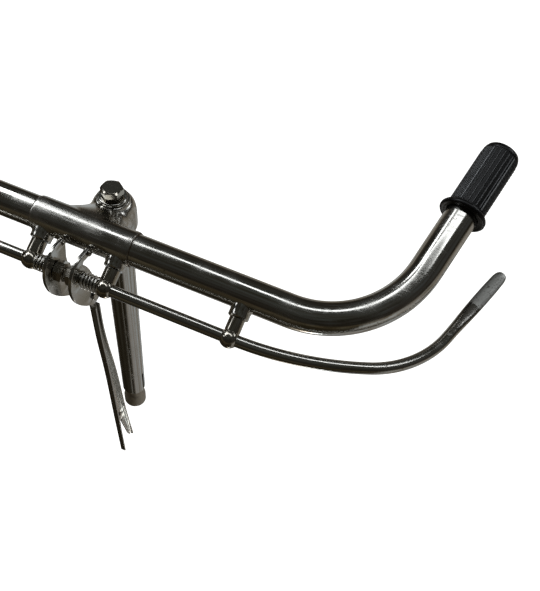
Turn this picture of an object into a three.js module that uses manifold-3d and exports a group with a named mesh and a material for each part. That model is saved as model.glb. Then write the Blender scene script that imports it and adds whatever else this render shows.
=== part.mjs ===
// Roadster handlebar with rod-brake levers: a swept-back bar brazed into a lug stem, an expander
// quill, and on each side a brake lever that turns in two ball-ended pillars and carries a crank.
// Millimetres. +X is the rider's left, +Y points back to the rider, +Z is up along the quill.
// The origin is on the quill's axis, level with the lower face of the lug.
import * as THREE from 'three';
import { mergeVertices } from 'three/addons/utils/BufferGeometryUtils.js';
import Module from 'manifold-3d';

const wasm = await Module();
wasm.setup();

// ---- driving dimensions -------------------------------------------------------------------
const TUBE_DIAMETER = 22.2; // 7/8 in, both the bar and the quill
const STRAIGHT_HALF = 144; // centre of the bar to the start of its bend
const BEND_RADIUS = 72;
const BEND_ANGLE = rad(78.5);
const SWEEP_RISE = rad(22.7); // how far the bends rise from square to the quill
const GRIP_LENGTH = 55;
const BAR_REACH = 34.5; // bar axis ahead of the quill axis
const BAR_HEIGHT = 26; // bar axis above the lug's lower face
const QUILL_LENGTH = 229; // below the lug
const ROD_DIAMETER = 8; // brake lever rod
const PILLAR_HEIGHT = 18.5; // lug sleeve to the middle of the pillar's ball
const PILLAR_DROP = rad(27); // pillars point forward and this far down
const LEVER_REST = rad(8); // rise of the lever's plane when it is let go
const LEVER_STRAIGHT = 69; // last, straight stretch of the lever
const LINK_LENGTH = 276; // crank pivot to the longer toe of the pull link

// ---- sizes that follow --------------------------------------------------------------------
const FIT = 0.3; // gap left between pieces that touch
const TUBE_R = TUBE_DIAMETER / 2;
const BAR_WALL = 1.6;
const QUILL_WALL = 2.4;
const GRIP_START = 43.5; // where the grip begins on the straight leg behind each bend
const BAR_LEG = GRIP_START + GRIP_LENGTH - 8;
const SLEEVE_R = TUBE_R + 1.1;
const SLEEVE_HALF = 36;
const BOSS_R = TUBE_R + 4.7;
const BOSS_TOP = BAR_HEIGHT + 1;
const SOCKET_DEPTH = 12;
const BOLT_R = 4;
const BOLT_AF = 14;
const WASHER_THICK = 2;
const ROD_R = ROD_DIAMETER / 2;
const ROD_REACH = SLEEVE_R + PILLAR_HEIGHT; // bar axis to rod axis
const PILLAR_INNER = 27;
const PILLAR_OUTER = 0.8 * STRAIGHT_HALF;
const BALL_R = ROD_R + 2.6;
const POST_R = 5.2;
const COLLAR_R = 7;
const PLATE_THICK = 2.5;
const PLATE_X = 8; // inner face of the crank plate
const NUT_AF = 1.62 * ROD_DIAMETER;
const NUT_HEIGHT = 6.4;
const SPRING_WIRE_R = 0.65;
const SPRING_R = ROD_R + SPRING_WIRE_R + 0.6;
const SPRING_TURNS = 4;
const PIN_R = 2.4;
const TAIL_R = 3; // end of the crank's tail, which stops under the bar
const LINK_WEB = 1.8;
const LINK_DEPTH = 5; // web and lips together
const ARM = new THREE.Vector2(11, -28); // crank pivot from the rod axis, back and up

const STOP_R = 1.3;

const rodY = -BAR_REACH - ROD_REACH * Math.cos(PILLAR_DROP);
const rodZ = BAR_HEIGHT - ROD_REACH * Math.sin(PILLAR_DROP);
const pivotY = rodY + ARM.x;
const pivotZ = rodZ + ARM.y;

const barFromRod = new THREE.Vector2(-BAR_REACH - rodY, BAR_HEIGHT - rodZ);
const tail = polar(barFromRod, SLEEVE_R + TAIL_R + 0.6, rad(180));

function rad(degrees) {
  return (degrees * Math.PI) / 180;
}

// ---- materials ----------------------------------------------------------------------------
const chrome = new THREE.MeshStandardMaterial({ color: 0x9c9b96, roughness: 0.14, metalness: 1 });
const agedChrome = new THREE.MeshStandardMaterial({ color: 0x8b877d, roughness: 0.26, metalness: 1 });
const steel = new THREE.MeshStandardMaterial({ color: 0x77716a, roughness: 0.45, metalness: 1 });
const springSteel = new THREE.MeshStandardMaterial({ color: 0x6f6d68, roughness: 0.3, metalness: 1 });
const rubber = new THREE.MeshStandardMaterial({ color: 0x1d1e1f, roughness: 0.72, metalness: 0 });

// ---- solids -------------------------------------------------------------------------------
const group = new THREE.Group();
group.name = 'rod_brake_handlebar';

function add(name, geometry, material) {
  const mesh = new THREE.Mesh(geometry, material);
  mesh.name = name;
  group.add(mesh);
  return mesh;
}

function toSolid(geometry) {
  const bare = geometry.clone();
  bare.deleteAttribute('normal');
  bare.deleteAttribute('uv');
  const merged = mergeVertices(bare, 1e-4);
  return new wasm.Manifold(
    new wasm.Mesh({
      numProp: 3,
      vertProperties: Float32Array.from(merged.attributes.position.array),
      triVerts: Uint32Array.from(merged.index.array),
    }),
  );
}

function toGeometry(solid) {
  const mesh = solid.getMesh();
  const geometry = new THREE.BufferGeometry();
  geometry.setAttribute('position', new THREE.BufferAttribute(new Float32Array(mesh.vertProperties), 3));
  geometry.setIndex(new THREE.BufferAttribute(new Uint32Array(mesh.triVerts), 1));
  geometry.computeVertexNormals();
  return geometry;
}

function join(first, ...others) {
  return toGeometry(others.reduce((solid, item) => solid.add(toSolid(item)), toSolid(first)));
}

function cut(body, ...tools) {
  return toGeometry(tools.reduce((solid, item) => solid.subtract(toSolid(item)), toSolid(body)));
}

function common(first, second) {
  return toGeometry(toSolid(first).intersect(toSolid(second)));
}

// A closed skin through rings of equal length, each running counter-clockwise about the travel.
function loft(rings) {
  const count = rings[0].length;
  const points = rings.flat();
  const index = [];
  for (let i = 0; i < rings.length - 1; i += 1) {
    for (let j = 0; j < count; j += 1) {
      const a = i * count + j;
      const b = i * count + ((j + 1) % count);
      index.push(a, b, b + count, a, b + count, a + count);
    }
  }
  const last = (rings.length - 1) * count;
  for (let j = 1; j < count - 1; j += 1) {
    index.push(0, j + 1, j);
    index.push(last, last + j, last + j + 1);
  }
  const geometry = new THREE.BufferGeometry().setFromPoints(points);
  geometry.setIndex(index);
  geometry.computeVertexNormals();
  return geometry;
}

// An oval ring of the given half sizes; power 1 is an ellipse and lower values are squarer.
function ovalRing(centre, across, up, halfWidth, halfHeight, sides, power = 1) {
  return Array.from({ length: sides }, (_, k) => {
    const angle = (2 * Math.PI * k) / sides;
    const u = Math.sign(Math.cos(angle)) * Math.abs(Math.cos(angle)) ** power;
    const v = Math.sign(Math.sin(angle)) * Math.abs(Math.sin(angle)) ** power;
    return centre.clone().addScaledVector(across, u * halfWidth).addScaledVector(up, v * halfHeight);
  });
}

// Rings of a round section along a path of { point, tangent } that lies square to up.
function sweep(path, up, radius, sides) {
  return loft(
    path.map(({ point, tangent }) => {
      const across = up.clone().cross(tangent).normalize();
      return ovalRing(point, across, up, radius, radius, sides);
    }),
  );
}

// A turned piece: profile points are [radius, height], and it stands on Z until it is turned.
function turned(profile, sides = 32) {
  const points = profile.map(([radius, height]) => new THREE.Vector2(radius, height));
  return new THREE.LatheGeometry(points, sides).rotateX(Math.PI / 2);
}

// Lathe profiles run up the outside; a bored one returns down the inside and closes on itself.
function bored(outer, boreRadius, sides = 32) {
  const low = outer[0][1];
  const high = outer[outer.length - 1][1];
  const closed = [[boreRadius, low], ...outer, [boreRadius, high], [boreRadius, low]];
  return turned(closed, sides);
}

// Stands a turned piece on an axis through a point.
function aim(geometry, axis, point) {
  const turn = new THREE.Quaternion().setFromUnitVectors(new THREE.Vector3(0, 0, 1), axis);
  return geometry.applyQuaternion(turn).translate(point.x, point.y, point.z);
}

// A flat outline pushed up Z by its depth; points closer than 0.01 mm are dropped first.
function extrude(shape, depth, curveSegments = 7) {
  const points = shape.getPoints(curveSegments);
  const kept = points.filter((point, k) => point.distanceTo(points[(k + 1) % points.length]) > 0.01);
  return new THREE.ExtrudeGeometry(new THREE.Shape(kept), { depth, bevelEnabled: false });
}

function mirrored(geometry) {
  const copy = geometry.clone().scale(-1, 1, 1);
  const index = copy.index.array;
  for (let i = 0; i < index.length; i += 3) {
    [index[i], index[i + 1]] = [index[i + 1], index[i]];
  }
  copy.computeVertexNormals();
  return copy;
}

// Adds a piece of the rider's left side and its mirror image on the right.
function addPair(name, geometry, material) {
  add(`${name}_left`, geometry, material);
  add(`${name}_right`, mirrored(geometry.index ? geometry : mergeVertices(geometry)), material);
}

const X_AXIS = new THREE.Vector3(1, 0, 0);
const Z_AXIS = new THREE.Vector3(0, 0, 1);
const vec = (x, y, z) => new THREE.Vector3(x, y, z);

// ---- planar paths -------------------------------------------------------------------------
// A path is a list of { x, w, angle }: along X, out from the axis, and the heading.
function straight(path, length, steps = 1) {
  const start = path[path.length - 1];
  for (let i = 1; i <= steps; i += 1) {
    const s = (length * i) / steps;
    path.push({
      x: start.x + s * Math.cos(start.angle),
      w: start.w + s * Math.sin(start.angle),
      angle: start.angle,
    });
  }
}

function bend(path, radius, angle, steps) {
  const start = path[path.length - 1];
  for (let i = 1; i <= steps; i += 1) {
    const turn = start.angle + (angle * i) / steps;
    path.push({
      x: start.x + radius * (Math.sin(turn) - Math.sin(start.angle)),
      w: start.w + radius * (Math.cos(start.angle) - Math.cos(turn)),
      angle: turn,
    });
  }
}

// Lifts a planar path into space: w runs out from (y, z) at the given rise.
function lift(path, y, z, rise) {
  const out = vec(0, Math.cos(rise), Math.sin(rise));
  return path.map(({ x, w, angle }) => ({
    point: vec(x, y, z).addScaledVector(out, w),
    tangent: vec(Math.cos(angle), 0, 0).addScaledVector(out, Math.sin(angle)),
  }));
}

// ---- handlebar tube -----------------------------------------------------------------------
function barPath() {
  const half = [{ x: 0, w: 0, angle: 0 }];
  straight(half, STRAIGHT_HALF);
  bend(half, BEND_RADIUS, BEND_ANGLE, 11);
  straight(half, BAR_LEG);
  const other = half.slice(1).map(({ x, w, angle }) => ({ x: -x, w, angle: -angle }));
  return lift([...other.reverse(), ...half], -BAR_REACH, BAR_HEIGHT, SWEEP_RISE);
}

const barUp = vec(0, -Math.sin(SWEEP_RISE), Math.cos(SWEEP_RISE));

function handlebarTube() {
  const path = barPath();
  const bore = path.map((step) => ({ ...step }));
  const first = bore[0];
  const last = bore[bore.length - 1];
  first.point = first.point.clone().addScaledVector(first.tangent, -1);
  last.point = last.point.clone().addScaledVector(last.tangent, 1);
  return cut(sweep(path, barUp, TUBE_R, 22), sweep(bore, barUp, TUBE_R - BAR_WALL, 12));
}

// ---- stem: lug, quill and expander --------------------------------------------------------
function stemLug() {
  const sleeve = aim(
    turned([
      [0, -SLEEVE_HALF],
      [SLEEVE_R - 0.6, -SLEEVE_HALF],
      [SLEEVE_R, -SLEEVE_HALF + 0.8],
      [SLEEVE_R, SLEEVE_HALF - 0.8],
      [SLEEVE_R - 0.6, SLEEVE_HALF],
      [0, SLEEVE_HALF],
    ], 32),
    X_AXIS,
    vec(0, -BAR_REACH, BAR_HEIGHT),
  );
  // The neck narrows from the sleeve to the boss and drops towards the boss's top face.
  const neck = [];
  const steps = 9;
  for (let i = 0; i <= steps; i += 1) {
    const t = i / steps;
    const back = t * BAR_REACH;
    const flare = Math.exp(-((back / (0.46 * BAR_REACH)) ** 2));
    const halfWidth = BOSS_R - 0.4 + (SLEEVE_HALF - BOSS_R - 2) * flare;
    const ease = t * t * (3 - 2 * t);
    const top = SLEEVE_R - 0.3 + (BOSS_TOP - BAR_HEIGHT - 1.4 - SLEEVE_R) * ease;
    const bottom = -(SLEEVE_R - 0.3) - (BAR_HEIGHT - SLEEVE_R - 0.8) * ease;
    const centre = vec(0, back - BAR_REACH, BAR_HEIGHT + (top + bottom) / 2);
    neck.push(ovalRing(centre, Z_AXIS, X_AXIS, (top - bottom) / 2, halfWidth, 24, 1 - 0.25 * ease));
  }
  const boss = turned([
    [0, 0],
    [BOSS_R - 0.8, 0],
    [BOSS_R, 1],
    [BOSS_R, BOSS_TOP - 12],
    [BOSS_R - 0.5, BOSS_TOP - 7],
    [BOSS_R - 1.8, BOSS_TOP - 3.6],
    [BOSS_R - 4, BOSS_TOP - 1.3],
    [BOSS_R - 5, BOSS_TOP],
    [0, BOSS_TOP],
  ], 32);
  const barBore = aim(
    turned([[0, -60], [TUBE_R + FIT, -60], [TUBE_R + FIT, 60], [0, 60]], 36),
    X_AXIS,
    vec(0, -BAR_REACH, BAR_HEIGHT),
  );
  const socket = turned([[0, -5], [TUBE_R + FIT, -5], [TUBE_R + FIT, SOCKET_DEPTH], [0, SOCKET_DEPTH]], 32);
  const boltBore = turned([[0, -5], [BOLT_R + 0.4, -5], [BOLT_R + 0.4, 60], [0, 60]], 20);
  // A spot face lets the washer sit level where the neck comes down to the boss.
  const spot = BOSS_R - 5.2;
  const spotFace = turned([[0, BOSS_TOP], [spot, BOSS_TOP], [spot, BOSS_TOP + 20], [0, BOSS_TOP + 20]], 28);
  return cut(join(sleeve, loft(neck), boss), barBore, socket, boltBore, spotFace);
}

function quillTube() {
  const top = SOCKET_DEPTH - FIT;
  const tube = bored([[TUBE_R, -QUILL_LENGTH], [TUBE_R, top]], TUBE_R - QUILL_WALL, 32);
  const slotLength = 0.13 * QUILL_LENGTH;
  const slot = new THREE.BoxGeometry(2 * TUBE_R + 4, 2.4, slotLength);
  slot.translate(0, 0, -QUILL_LENGTH - 1 + slotLength / 2);
  return cut(tube, slot);
}

function expanderCone() {
  const neckR = TUBE_R - QUILL_WALL - 0.5;
  const top = -QUILL_LENGTH + 8;
  const body = bored([
    [TUBE_R - 1, top - 36],
    [TUBE_R - 0.2, top - 35],
    [TUBE_R - 0.2, top - 25],
    [neckR, top - 13],
    [neckR, top - 1],
    [neckR - 0.8, top],
  ], BOLT_R + FIT, 24);
  const key = new THREE.BoxGeometry(2 * TUBE_R - 1, 1.7, 12);
  key.translate(0, 0, top - 9);
  const keyBore = turned([[0, top - 60], [neckR - 1, top - 60], [neckR - 1, top + 20], [0, top + 20]], 20);
  // What is left of the bar outside the neck is the pair of keys that ride in the quill's slot.
  return join(body, cut(key, keyBore));
}

function hexagon(acrossFlats) {
  const shape = new THREE.Shape();
  const corner = acrossFlats / Math.sqrt(3);
  for (let k = 0; k < 6; k += 1) {
    const angle = (Math.PI / 3) * k;
    const x = corner * Math.cos(angle);
    const y = corner * Math.sin(angle);
    if (k === 0) shape.moveTo(x, y);
    else shape.lineTo(x, y);
  }
  shape.closePath();
  return shape;
}

function expanderBolt() {
  const collarBase = BOSS_TOP + 2 * FIT + WASHER_THICK;
  const headBase = collarBase + 1.4;
  const head = extrude(hexagon(BOLT_AF), 7);
  head.translate(0, 0, headBase);
  const crown = turned([
    [0, headBase],
    [BOLT_AF / 2 - 0.1, headBase],
    [BOLT_AF * 0.585, headBase + 0.9],
    [BOLT_AF * 0.585, headBase + 3.9],
    [BOLT_AF / 2 - 0.4, headBase + 4.7],
    [BOLT_AF / 2 - 2.6, headBase + 5.3],
    [0, headBase + 5.5],
  ], 30);
  const tip = -QUILL_LENGTH - 33;
  const shank = turned([
    [0, tip],
    [BOLT_R - 1, tip],
    [BOLT_R, tip + 1],
    [BOLT_R, collarBase],
    [BOLT_AF / 2 - 0.8, collarBase],
    [BOLT_AF / 2 - 0.8, headBase + 1],
    [0, headBase + 1],
  ], 20);
  return join(common(head, crown), shank);
}

function boltWasher() {
  const base = BOSS_TOP + FIT;
  const rim = BOSS_R - 5.6;
  return bored(
    [
      [rim - 0.3, base],
      [rim, base + 0.4],
      [rim, base + WASHER_THICK - 0.6],
      [rim - 0.6, base + WASHER_THICK],
    ],
    BOLT_R + 0.4,
    24,
  );
}

// ---- pillars ------------------------------------------------------------------------------
const pillarAxis = vec(0, -Math.cos(PILLAR_DROP), -Math.sin(PILLAR_DROP));
const collarTop = SLEEVE_R + 4.6;

function pillarCollar(x, seatRadius) {
  const collar = bored([
    [COLLAR_R, seatRadius - 4],
    [COLLAR_R, collarTop - 0.8],
    [COLLAR_R - 0.8, collarTop],
  ], 3.6, 18);
  aim(collar, pillarAxis, vec(x, -BAR_REACH, BAR_HEIGHT));
  const seat = aim(
    turned([[0, x - 20], [seatRadius + FIT, x - 20], [seatRadius + FIT, x + 20], [0, x + 20]], 36),
    X_AXIS,
    vec(0, -BAR_REACH, BAR_HEIGHT),
  );
  return cut(collar, seat);
}

function pillar(x) {
  const neckTop = ROD_REACH - BALL_R + 1.2;
  const post = turned([
    [0, SLEEVE_R + 1.2],
    [3.3, SLEEVE_R + 1.2],
    [3.3, collarTop + FIT],
    [POST_R, collarTop + FIT],
    [POST_R, neckTop - 3],
    [POST_R - 0.5, neckTop],
    [0, neckTop + 3],
  ], 16);
  const ball = new THREE.SphereGeometry(BALL_R, 12, 8);
  ball.translate(0, 0, ROD_REACH);
  const body = aim(join(post, ball), pillarAxis, vec(x, -BAR_REACH, BAR_HEIGHT));
  const bore = aim(
    turned([[0, x - 20], [ROD_R + FIT, x - 20], [ROD_R + FIT, x + 20], [0, x + 20]], 14),
    X_AXIS,
    vec(0, rodY, rodZ),
  );
  return cut(body, bore);
}

// ---- brake levers -------------------------------------------------------------------------
function leverRod() {
  const path = [{ x: 1, w: 0, angle: 0 }];
  straight(path, 0.82 * STRAIGHT_HALF - 1);
  bend(path, 230, rad(22), 6);
  bend(path, 0.97 * BEND_RADIUS, rad(48.5), 9);
  straight(path, LEVER_STRAIGHT - 46);
  const round = lift(path, rodY, rodZ, LEVER_REST);
  const up = vec(0, -Math.sin(LEVER_REST), Math.cos(LEVER_REST));
  const end = round[round.length - 1];
  const across = up.clone().cross(end.tangent).normalize();
  const rings = round.map(({ point, tangent }) => {
    const side = up.clone().cross(tangent).normalize();
    return ovalRing(point, side, up, ROD_R, ROD_R, 14);
  });
  // The blade: flattened and spread over 8 mm, then straight, then a rounded tip.
  const blade = [
    [3, 1.05, 0.86, 1],
    [6, 1.22, 0.66, 0.85],
    [9, 1.34, 0.56, 0.7],
    [38, 1.34, 0.52, 0.7],
    [42, 1.26, 0.48, 0.75],
    [44.5, 1.0, 0.42, 0.9],
    [46, 0.55, 0.3, 1],
  ];
  for (const [along, wide, thick, power] of blade) {
    const centre = end.point.clone().addScaledVector(end.tangent, along);
    rings.push(ovalRing(centre, across, up, ROD_R * wide, ROD_R * thick, 14, power));
  }
  return loft(rings);
}

// Outline in (back, up) from the rod axis: a round hub with an arm down to the pivot and a hooked
// tail that curls over to rest under the bar. The left crank's tail is a slim hook; the right one
// is webbed.
function crankPlate(webbed) {
  const hub = 12.9;
  const armEnd = 8.5;
  const armSide = polar(ARM, armEnd, rad(16));
  const hubSide = polar(new THREE.Vector2(0, 0), hub, rad(200));
  const tailTop = polar(tail, TAIL_R, rad(105));
  const tailFoot = polar(tail, TAIL_R, rad(-60));
  const shape = new THREE.Shape();
  shape.moveTo(tailFoot.x, tailFoot.y);
  if (webbed) {
    shape.bezierCurveTo(12.6, 3, 11, -5, armSide.x, armSide.y);
  } else {
    shape.bezierCurveTo(7, 10.2, 4, 12.6, 3.6, 10.4);
    shape.bezierCurveTo(3.4, 9, 7, 8, 9.2, 1);
    shape.bezierCurveTo(10.4, -3, 13, -10, armSide.x, armSide.y);
  }
  shape.absarc(ARM.x, ARM.y, armEnd, rad(16), rad(-152), true);
  shape.lineTo(hubSide.x, hubSide.y);
  shape.absarc(0, 0, hub, rad(200), rad(150), true);
  shape.bezierCurveTo(-8.6, 17, -0.5, 20.6, tailTop.x, tailTop.y);
  shape.absarc(tail.x, tail.y, TAIL_R, rad(105), rad(-60), true);
  const rodHole = drill(0, 0, ROD_R + FIT, PLATE_THICK);
  const pinHole = drill(ARM.x, ARM.y, PIN_R + FIT, PLATE_THICK);
  const stopHole = drill(tail.x, tail.y, STOP_R + FIT, PLATE_THICK);
  return standOnX(cut(extrude(shape, PLATE_THICK), rodHole, pinHole, stopHole), PLATE_X, rodY, rodZ);
}

// The round-headed pin through the end of a crank's tail.
function stopPin() {
  const inner = PLATE_X - 1.2;
  const outer = PLATE_X + PLATE_THICK + FIT;
  const pin = turned([
    [0, inner],
    [STOP_R - 0.3, inner],
    [STOP_R, inner + 0.4],
    [STOP_R, outer],
    [STOP_R + 0.9, outer],
    [STOP_R + 0.8, outer + 0.8],
    [STOP_R - 0.2, outer + 1.5],
    [0, outer + 1.7],
  ], 12);
  return aim(pin, X_AXIS, vec(0, rodY + tail.x, rodZ + tail.y));
}

function polar(centre, radius, angle) {
  return new THREE.Vector2(centre.x + radius * Math.cos(angle), centre.y + radius * Math.sin(angle));
}

// A round cutter for a hole through a flat piece of the given thickness.
function drill(x, y, radius, thickness) {
  return turned([[0, -1], [radius, -1], [radius, thickness + 1], [0, thickness + 1]], 24).translate(x, y, 0);
}

// Turns an outline drawn in (back, up) and extruded along its own Z so that it extrudes along X.
function standOnX(geometry, x, y, z) {
  const turn = new THREE.Matrix4().makeBasis(vec(0, 1, 0), vec(0, 0, 1), vec(1, 0, 0));
  return geometry.applyMatrix4(turn).translate(x, y, z);
}

function crankNut() {
  const hex = cut(extrude(hexagon(NUT_AF), NUT_HEIGHT), drill(0, 0, ROD_R + FIT, NUT_HEIGHT));
  const corner = NUT_AF / Math.sqrt(3);
  const flat = NUT_AF / 2;
  const chamfer = turned([
    [0, 0],
    [flat - 0.2, 0],
    [corner + 0.1, 1.1],
    [corner + 0.1, NUT_HEIGHT - 1.1],
    [flat - 0.2, NUT_HEIGHT],
    [0, NUT_HEIGHT],
  ], 24);
  return standOnX(common(hex, chamfer), PLATE_X - FIT - NUT_HEIGHT, rodY, rodZ);
}

function returnSpring() {
  const start = PLATE_X + PLATE_THICK + 2 * FIT + SPRING_WIRE_R;
  const length = PILLAR_INNER - BALL_R - 1.2 - start;
  const perTurn = 10;
  const total = SPRING_TURNS * perTurn;
  const rings = [];
  for (let i = 0; i <= total; i += 1) {
    const angle = (2 * Math.PI * i) / perTurn;
    const x = start + (length * i) / total;
    const outward = vec(0, Math.cos(angle), Math.sin(angle));
    const centre = vec(x, rodY, rodZ).addScaledVector(outward, SPRING_R);
    rings.push({ centre, outward, along: vec(length / (total / perTurn) / (2 * Math.PI * SPRING_R),
      -Math.sin(angle), Math.cos(angle)).normalize() });
  }
  const first = rings[0];
  const last = rings[rings.length - 1];
  const leg = (ring, distance) => {
    return { ...ring, centre: ring.centre.clone().addScaledVector(ring.along, distance) };
  };
  const all = [leg(first, -7), ...rings, leg(last, 6)];
  return loft(all.map(({ centre, outward, along }) => {
    const side = along.clone().cross(outward).normalize();
    return ovalRing(centre, outward, side, SPRING_WIRE_R, SPRING_WIRE_R, 6);
  }));
}

function pivotPin(innerX) {
  const outer = PLATE_X + PLATE_THICK + FIT;
  const pin = turned([
    [0, innerX],
    [PIN_R - 0.4, innerX],
    [PIN_R, innerX + 0.6],
    [PIN_R, outer],
    [PIN_R + 2, outer],
    [PIN_R + 1.9, outer + 0.9],
    [PIN_R + 0.8, outer + 1.8],
    [0, outer + 2.1],
  ], 16);
  return aim(pin, X_AXIS, vec(0, pivotY, pivotZ));
}

// ---- pull link ----------------------------------------------------------------------------
// The link is pressed from strip: a web with a lip down each side, narrow at the eye and spreading
// to a fork. Each list holds (back, up) from the pivot, with up as a share of the link's length.
const LINK_FRONT = [[-3, -0.05], [-2.4, -0.19], [0.2, -0.38], [2.2, -0.7], [4.2, -0.985]];
const LINK_BACK = [[3, -0.05], [3.6, -0.17], [10.8, -0.42], [17.2, -0.74], [23.2, -0.955]];
const LINK_CROTCH = [[18.6, -0.94], [10.9, -0.79], [9.7, -0.764], [8.9, -0.79], [8.6, -0.98]];
const RIVET_PLACE = [8.9, -0.725];

function linkPoint([back, share]) {
  return new THREE.Vector2(back, share * LINK_LENGTH);
}

function pullLink() {
  const eyeR = 6;
  const eyeFront = polar(new THREE.Vector2(0, 0), eyeR, rad(235));
  const shape = new THREE.Shape([
    eyeFront,
    ...LINK_FRONT.map(linkPoint),
    linkPoint([6.6, -1]),
    ...LINK_CROTCH.slice().reverse().map(linkPoint),
    linkPoint([21, -0.965]),
    ...LINK_BACK.slice().reverse().map(linkPoint),
  ]);
  shape.lineTo(...polar(new THREE.Vector2(0, 0), eyeR, rad(-55)));
  shape.absarc(0, 0, eyeR, rad(-55), rad(235), false);
  // The hollow between the lips runs out through the fork; above it the strip is flat.
  const lip = 1.4;
  const hollow = new THREE.Shape([
    ...LINK_FRONT.map(([back, share]) => linkPoint([back + lip, share])),
    linkPoint([7, -1.05]),
    linkPoint([23, -1.05]),
    ...LINK_BACK.slice().reverse().map(([back, share]) => linkPoint([back - lip, share])),
    linkPoint([30, -0.05]),
    linkPoint([30, 0.05]),
    linkPoint([-30, 0.05]),
    linkPoint([-30, -0.05]),
  ]);
  const pocket = extrude(hollow, LINK_DEPTH).translate(0, 0, LINK_WEB);
  const eyeHole = drill(0, 0, PIN_R + FIT, LINK_DEPTH);
  const rivetAt = linkPoint(RIVET_PLACE);
  const rivetHole = drill(rivetAt.x, rivetAt.y, 2.3, LINK_DEPTH);
  const strip = cut(extrude(shape, LINK_DEPTH), pocket, eyeHole, rivetHole);
  return standOnX(strip, PLATE_X - FIT - LINK_WEB, pivotY, pivotZ);
}

function forkRivet() {
  const middle = PLATE_X - FIT - LINK_WEB / 2;
  const half = LINK_WEB / 2 + FIT;
  const rivet = turned([
    [0, middle - half - 1.4],
    [2.6, middle - half - 1],
    [3.4, middle - half],
    [2, middle - half],
    [2, middle + half],
    [3.4, middle + half],
    [2.6, middle + half + 1],
    [0, middle + half + 1.4],
  ], 16);
  const rivetAt = linkPoint(RIVET_PLACE);
  return aim(rivet, X_AXIS, vec(0, pivotY + rivetAt.x, pivotZ + rivetAt.y));
}

// ---- grips --------------------------------------------------------------------------------
function grip() {
  const bodyR = TUBE_R + 1.8;
  const flangeR = bodyR + 3.5;
  const profile = [
    [TUBE_R + FIT, 0],
    [flangeR - 0.8, 0],
    [flangeR, 1],
    [flangeR, 3],
    [flangeR - 1, 4],
    [bodyR + 0.6, 4.8],
    [bodyR, 7],
    [bodyR, GRIP_LENGTH - 11],
    [bodyR + 0.4, GRIP_LENGTH - 10],
    [bodyR + 0.3, GRIP_LENGTH - 6],
    [bodyR - 1.4, GRIP_LENGTH - 2.8],
    [bodyR - 5, GRIP_LENGTH - 0.8],
    [0, GRIP_LENGTH],
  ];
  const inside = [[0, GRIP_LENGTH - 5], [TUBE_R + FIT, GRIP_LENGTH - 5], [TUBE_R + FIT, 0]];
  const path = [{ x: 0, w: 0, angle: 0 }];
  straight(path, STRAIGHT_HALF);
  bend(path, BEND_RADIUS, BEND_ANGLE, 1);
  straight(path, GRIP_START);
  const { point, tangent } = lift(path, -BAR_REACH, BAR_HEIGHT, SWEEP_RISE).pop();
  return aim(turned([...profile, ...inside], 24), tangent, point);
}

// ---- assembly -----------------------------------------------------------------------------
add('handlebar_tube', handlebarTube(), chrome);
add('stem_lug', stemLug(), chrome);
add('quill_tube', quillTube(), chrome);
add('expander_cone', expanderCone(), steel);
add('expander_bolt', expanderBolt(), agedChrome);
add('bolt_washer', boltWasher(), agedChrome);
addPair('pillar_collar_inner', pillarCollar(PILLAR_INNER, SLEEVE_R), chrome);
addPair('pillar_collar_outer', pillarCollar(PILLAR_OUTER, TUBE_R), chrome);
addPair('pillar_inner', pillar(PILLAR_INNER), agedChrome);
addPair('pillar_outer', pillar(PILLAR_OUTER), agedChrome);
addPair('lever_rod', leverRod(), chrome);
add('crank_plate_left', crankPlate(false), chrome);
add('crank_plate_right', mirrored(crankPlate(true)), chrome);
addPair('stop_pin', stopPin(), agedChrome);
addPair('crank_nut', crankNut(), agedChrome);
addPair('return_spring', returnSpring(), springSteel);
addPair('grip', grip(), rubber);
add('pivot_pin_left', pivotPin(PLATE_X - FIT - LINK_WEB - 2), agedChrome);
add('pivot_pin_right', mirrored(mergeVertices(pivotPin(PLATE_X - 2))), agedChrome);
add('pull_link', pullLink(), agedChrome);
add('fork_rivet', forkRivet(), agedChrome);

export default group;
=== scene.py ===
import math

import bmesh
import bpy
from bpy.props import FloatProperty, IntProperty, PointerProperty, StringProperty
from mathutils import Matrix, Vector


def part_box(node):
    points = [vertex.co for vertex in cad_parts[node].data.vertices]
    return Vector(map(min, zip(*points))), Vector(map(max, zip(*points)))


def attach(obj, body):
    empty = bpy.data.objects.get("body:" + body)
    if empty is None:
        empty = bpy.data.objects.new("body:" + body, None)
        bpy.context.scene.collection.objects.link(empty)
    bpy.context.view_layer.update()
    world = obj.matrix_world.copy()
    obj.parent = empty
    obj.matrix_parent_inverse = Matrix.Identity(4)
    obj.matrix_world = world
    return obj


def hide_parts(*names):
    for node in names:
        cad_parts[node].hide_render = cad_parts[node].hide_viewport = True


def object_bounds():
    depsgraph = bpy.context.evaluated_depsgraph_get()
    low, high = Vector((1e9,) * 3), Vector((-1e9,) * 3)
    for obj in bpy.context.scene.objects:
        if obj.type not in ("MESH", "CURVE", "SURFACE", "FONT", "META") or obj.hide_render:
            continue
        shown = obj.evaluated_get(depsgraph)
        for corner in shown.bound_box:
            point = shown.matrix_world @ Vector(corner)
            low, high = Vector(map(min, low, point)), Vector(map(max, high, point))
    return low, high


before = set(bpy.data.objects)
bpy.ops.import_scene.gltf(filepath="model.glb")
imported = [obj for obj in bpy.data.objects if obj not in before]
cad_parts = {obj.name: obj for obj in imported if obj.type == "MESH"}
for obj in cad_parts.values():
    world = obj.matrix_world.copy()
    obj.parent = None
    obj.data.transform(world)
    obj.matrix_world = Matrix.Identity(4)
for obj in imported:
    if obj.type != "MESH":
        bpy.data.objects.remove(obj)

bl_info = {
    "name": "Rod brake handlebar",
    "version": (1, 0, 0),
    "blender": (4, 5, 0),
    "location": "3D View > Sidebar > Handlebar",
    "description": "Builds a chromed roadster handlebar with rod brake levers",
    "category": "Object",
}

MM = 0.001
CAD_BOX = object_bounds()
X_AXIS = Vector((1, 0, 0))
Z_AXIS = Vector((0, 0, 1))
SIDES = (("left", 1), ("right", -1))
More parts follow.
